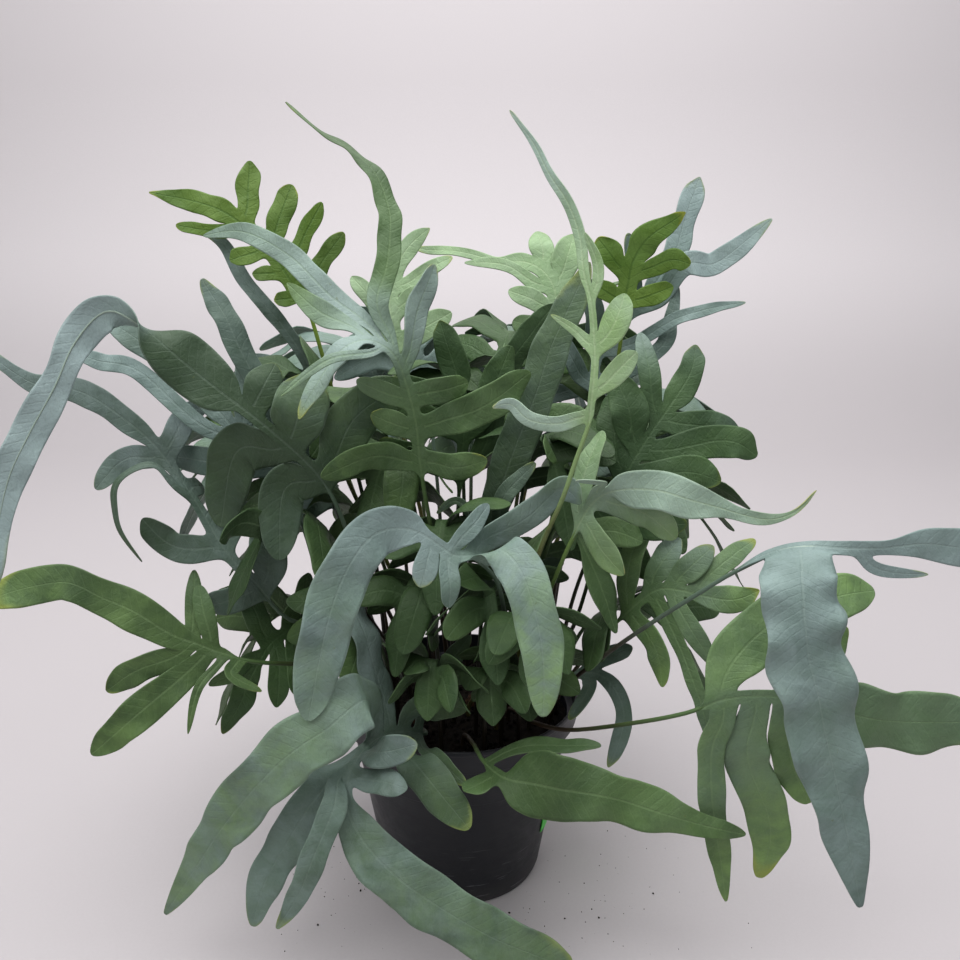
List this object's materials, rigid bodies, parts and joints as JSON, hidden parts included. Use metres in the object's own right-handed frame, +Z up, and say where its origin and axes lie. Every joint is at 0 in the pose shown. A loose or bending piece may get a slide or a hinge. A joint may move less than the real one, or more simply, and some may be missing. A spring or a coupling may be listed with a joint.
{
  "type": "potted fern",
  "caption": "Potted fern with long, waved, blue-green lobed fronds that arch and hang on all sides of a round black nursery pot filled with soil.",
  "frame": {"origin": "centre of the pot's underside, on the surface it stands on", "axes": "+Z up along the pot's axis, -Y towards the front of the plant, +X to the viewer's right"},
  "size_m": [0.4184, 0.3457, 0.3795],
  "materials": {
    "pot_plastic": "satin black moulded plastic",
    "sticker_film": "plain green film",
    "soil": "moist dark peat",
    "rhizome": "brown, scaly",
    "leaf_blue": "matt, waxy bloom",
    "leaf_grey_blue": "matt, waxy bloom",
    "leaf_green": "matt",
    "leaf_dark_green": "matt",
    "leaf_yellow_green": "thin young leaf",
    "leaf_pale_green": "thin young leaf",
    "leaf_light_green": "matt"
  },
  "bodies": {
    "root": {"pot": "pot_plastic", "pot_sticker": "sticker_film", "soil": "soil", "rhizome_east": "rhizome", "rhizome_west": "rhizome", "frond_west_arch": "leaf_grey_blue", "frond_west_back": "leaf_blue", "frond_west_mid": "leaf_grey_blue", "frond_west_strap": "leaf_grey_blue", "frond_young_west": "leaf_yellow_green", "frond_south_west": "leaf_green", "frond_dark_west": "leaf_dark_green", "frond_south_west_low": "leaf_grey_blue", "frond_crown": "leaf_green", "frond_front": "leaf_blue", "frond_dark_centre": "leaf_dark_green", "frond_grey_centre": "leaf_grey_blue", "frond_pale_back": "leaf_pale_green", "frond_pale_top": "leaf_pale_green", "frond_tall": "leaf_pale_green", "frond_young_east": "leaf_yellow_green", "frond_east_blue": "leaf_blue", "frond_east": "leaf_dark_green", "frond_east_light": "leaf_light_green", "frond_east_low": "leaf_green", "frond_south_east": "leaf_green", "frond_near_east": "leaf_blue", "frond_south": "leaf_green", "frond_east_droop": "leaf_grey_blue", "frond_back_1": "leaf_grey_blue", "frond_back_2": "leaf_green", "frond_back_3": "leaf_blue", "frond_back_4": "leaf_green", "frond_back_5": "leaf_grey_blue", "frond_back_6": "leaf_dark_green", "frond_back_7": "leaf_blue", "frond_back_8": "leaf_green", "frond_back_9": "leaf_grey_blue", "frond_back_10": "leaf_dark_green", "frond_back_11": "leaf_blue", "frond_back_12": "leaf_green", "frond_inner_1": "leaf_dark_green", "frond_inner_2": "leaf_dark_green", "frond_inner_3": "leaf_green", "frond_inner_4": "leaf_dark_green", "frond_inner_5": "leaf_dark_green", "frond_inner_6": "leaf_dark_green", "frond_inner_7": "leaf_dark_green", "frond_inner_8": "leaf_dark_green", "frond_inner_9": "leaf_dark_green", "frond_inner_10": "leaf_dark_green", "frond_inner_11": "leaf_green", "frond_inner_12": "leaf_dark_green", "frond_inner_13": "leaf_green", "frond_inner_14": "leaf_dark_green", "frond_inner_15": "leaf_dark_green", "frond_inner_16": "leaf_dark_green", "frond_inner_17": "leaf_dark_green", "frond_inner_18": "leaf_dark_green", "frond_inner_19": "leaf_dark_green"}
  },
  "joints": []
}
